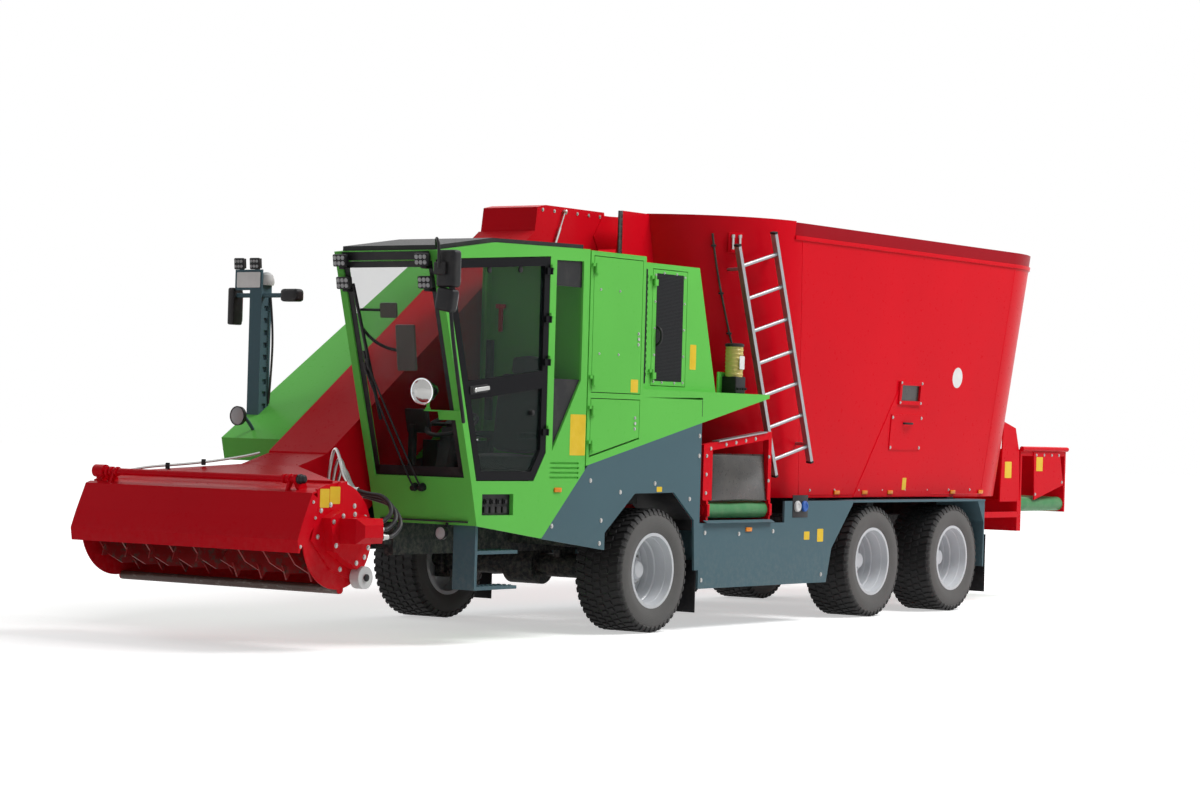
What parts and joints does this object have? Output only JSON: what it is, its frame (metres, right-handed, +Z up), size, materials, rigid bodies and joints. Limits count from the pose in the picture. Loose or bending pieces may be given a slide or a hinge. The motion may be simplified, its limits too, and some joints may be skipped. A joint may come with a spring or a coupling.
{
  "type": "self-propelled feed mixer wagon",
  "caption": "Self-propelled feed mixer with a milling head on a lifting intake arm, a side cab, an open round-ended mixing tub with upright augers, and discharge conveyors",
  "frame": {"origin": "on the ground, under the middle of the machine", "axes": "+X to the machine's left, +Y to the rear, +Z up"},
  "size_m": [2.9, 11.915, 3.3899],
  "materials": {
    "red_paint": "gloss enamel",
    "dark_red_paint": "gloss enamel",
    "green_paint": "gloss enamel",
    "grey_paint": "satin enamel",
    "frame_paint": "satin enamel",
    "worn_steel": "worn bright",
    "drum_paint": "worn enamel",
    "belt": "matt",
    "tinted_glass": "tinted",
    "black_frame": "satin",
    "seat_fabric": "woven",
    "black_plastic": "grained",
    "engine_iron": "rough",
    "ladder_aluminium": "mill finish",
    "clear_plastic": "translucent",
    "white_plastic": "worn",
    "rod_chrome": "polished",
    "tyre": "moulded",
    "rim_silver": "silver enamel",
    "black_rubber": "smooth"
  },
  "bodies": {
    "root": {"mixing_tub": "red_paint", "intake_chute": "red_paint", "conveyor_frames": "red_paint", "cab_shell": "green_paint", "engine_housing": "green_paint", "right_hood": "green_paint", "tub_extension": "dark_red_paint", "chassis_frame": "frame_paint", "axles": "frame_paint", "conveyor_belts": "belt", "cab_glass": "tinted_glass", "driver_seat": "seat_fabric", "cab_console": "black_plastic", "engine_block": "engine_iron", "side_skirts": "grey_paint", "mirror_post": "grey_paint", "mirrors": "black_plastic", "work_lamps": "black_plastic", "cab_steps": "grey_paint", "tub_ladder": "ladder_aluminium", "grease_pump": "clear_plastic", "arm_towers": "frame_paint", "sight_rubber": "black_rubber", "discharge_curtain": "black_rubber", "cab_roof": "black_plastic"},
    "arm": {"arm_channel": "red_paint", "head_frame": "red_paint", "head_drive": "red_paint"},
    "cowl": {"head_cowl": "red_paint"},
    "drum": {"milling_drum": "drum_paint"},
    "support_rollers": {"support_rollers": "white_plastic"},
    "steering_left": {"knuckle_left": "frame_paint"},
    "steering_right": {"knuckle_right": "frame_paint"},
    "auger_front": {"auger_front": "worn_steel"},
    "auger_rear": {"auger_rear": "worn_steel"},
    "cab_door": {"cab_door": "black_frame", "cab_door_glass": "tinted_glass"},
    "upper_service_door": {"upper_service_door": "green_paint"},
    "lower_service_door": {"lower_service_door": "green_paint"},
    "grille_door": {"grille_door": "green_paint"},
    "lift_barrel": {"lift_barrel": "frame_paint"},
    "lift_rod": {"lift_rod": "rod_chrome"},
    "wheel_front_left": {"tyre_front_left": "tyre", "rim_front_left": "rim_silver"},
    "wheel_front_right": {"tyre_front_right": "tyre", "rim_front_right": "rim_silver"},
    "wheel_mid_left": {"tyre_mid_left": "tyre", "rim_mid_left": "rim_silver"},
    "wheel_mid_right": {"tyre_mid_right": "tyre", "rim_mid_right": "rim_silver"},
    "wheel_rear_left": {"tyre_rear_left": "tyre", "rim_rear_left": "rim_silver"},
    "wheel_rear_right": {"tyre_rear_right": "tyre", "rim_rear_right": "rim_silver"}
  },
  "joints": [
    {"name": "steer_left", "type": "hinge", "parent": "root", "child": "steering_left", "pos_m": [0.88, -2, 0.49], "axis": [0, 0, 1], "range_deg": [-28, 28]},
    {"name": "steer_right", "type": "hinge", "parent": "root", "child": "steering_right", "pos_m": [-0.88, -2, 0.49], "axis": [0, 0, 1], "range_deg": [-28, 28]},
    {"name": "wheel_front_left_spin", "type": "hinge", "parent": "steering_left", "child": "wheel_front_left", "pos_m": [1.012, -2, 0.49], "axis": [1, 0, 0], "continuous": true},
    {"name": "wheel_front_right_spin", "type": "hinge", "parent": "steering_right", "child": "wheel_front_right", "pos_m": [-1.012, -2, 0.49], "axis": [1, 0, 0], "continuous": true},
    {"name": "wheel_mid_left_spin", "type": "hinge", "parent": "root", "child": "wheel_mid_left", "pos_m": [1.012, 1.487, 0.49], "axis": [1, 0, 0], "continuous": true},
    {"name": "wheel_mid_right_spin", "type": "hinge", "parent": "root", "child": "wheel_mid_right", "pos_m": [-1.012, 1.487, 0.49], "axis": [1, 0, 0], "continuous": true},
    {"name": "wheel_rear_left_spin", "type": "hinge", "parent": "root", "child": "wheel_rear_left", "pos_m": [1.012, 2.972, 0.49], "axis": [1, 0, 0], "continuous": true},
    {"name": "wheel_rear_right_spin", "type": "hinge", "parent": "root", "child": "wheel_rear_right", "pos_m": [-1.012, 2.972, 0.49], "axis": [1, 0, 0], "continuous": true},
    {"name": "arm_lift", "type": "hinge", "parent": "root", "child": "arm", "pos_m": [-0.03, -1.75, 2.95], "axis": [-1, 0, 0], "range_deg": [-6, 40]},
    {"name": "cowl_hinge", "type": "hinge", "parent": "arm", "child": "cowl", "pos_m": [-0.145, -5.745, 1.192], "axis": [-1, 0, 0], "range_deg": [0, 60]},
    {"name": "drum_spin", "type": "hinge", "parent": "arm", "child": "drum", "pos_m": [-0.145, -5.5, 0.8], "axis": [1, 0, 0], "continuous": true},
    {"name": "support_roller_spin", "type": "hinge", "parent": "arm", "child": "support_rollers", "pos_m": [-0.145, -5.3, 0.51], "axis": [1, 0, 0], "continuous": true},
    {"name": "auger_front_spin", "type": "hinge", "parent": "root", "child": "auger_front", "pos_m": [0, 0.95, 1.5], "axis": [0, 0, 1], "continuous": true},
    {"name": "auger_rear_spin", "type": "hinge", "parent": "root", "child": "auger_rear", "pos_m": [0, 3.24, 1.5], "axis": [0, 0, 1], "continuous": true},
    {"name": "cab_door_hinge", "type": "hinge", "parent": "root", "child": "cab_door", "pos_m": [1.262, -3.526, 1.9], "axis": [0, 0, 1], "range_deg": [0, 80]},
    {"name": "upper_service_door_hinge", "type": "hinge", "parent": "root", "child": "upper_service_door", "pos_m": [1.262, -2.949, 2.4], "axis": [0, 0, -1], "range_deg": [0, 100]},
    {"name": "lower_service_door_hinge", "type": "hinge", "parent": "root", "child": "lower_service_door", "pos_m": [1.262, -2.949, 1.6], "axis": [0, 0, -1], "range_deg": [0, 100]},
    {"name": "grille_door_hinge", "type": "hinge", "parent": "root", "child": "grille_door", "pos_m": [1.202, -2.054, 2.4], "axis": [0, 0, -1], "range_deg": [0, 100]},
    {"name": "lift_barrel_hinge", "type": "hinge", "parent": "root", "child": "lift_barrel", "pos_m": [-0.03, -2.45, 0.905], "axis": [1, 0, 0], "range_deg": [-3, 10]},
    {"name": "lift_rod_slide", "type": "slide", "parent": "lift_barrel", "child": "lift_rod", "axis": [0, -0.058, 0.9983], "range_m": [-0.13, 0.78]}
  ],
  "couplings": [
    {"joint": "steer_right", "follows": "steer_left", "ratio": 1},
    {"joint": "lift_barrel_hinge", "follows": "arm_lift", "ratio": 0.19},
    {"joint": "lift_rod_slide", "follows": "arm_lift", "m_per_rad": 1.05}
  ]
}
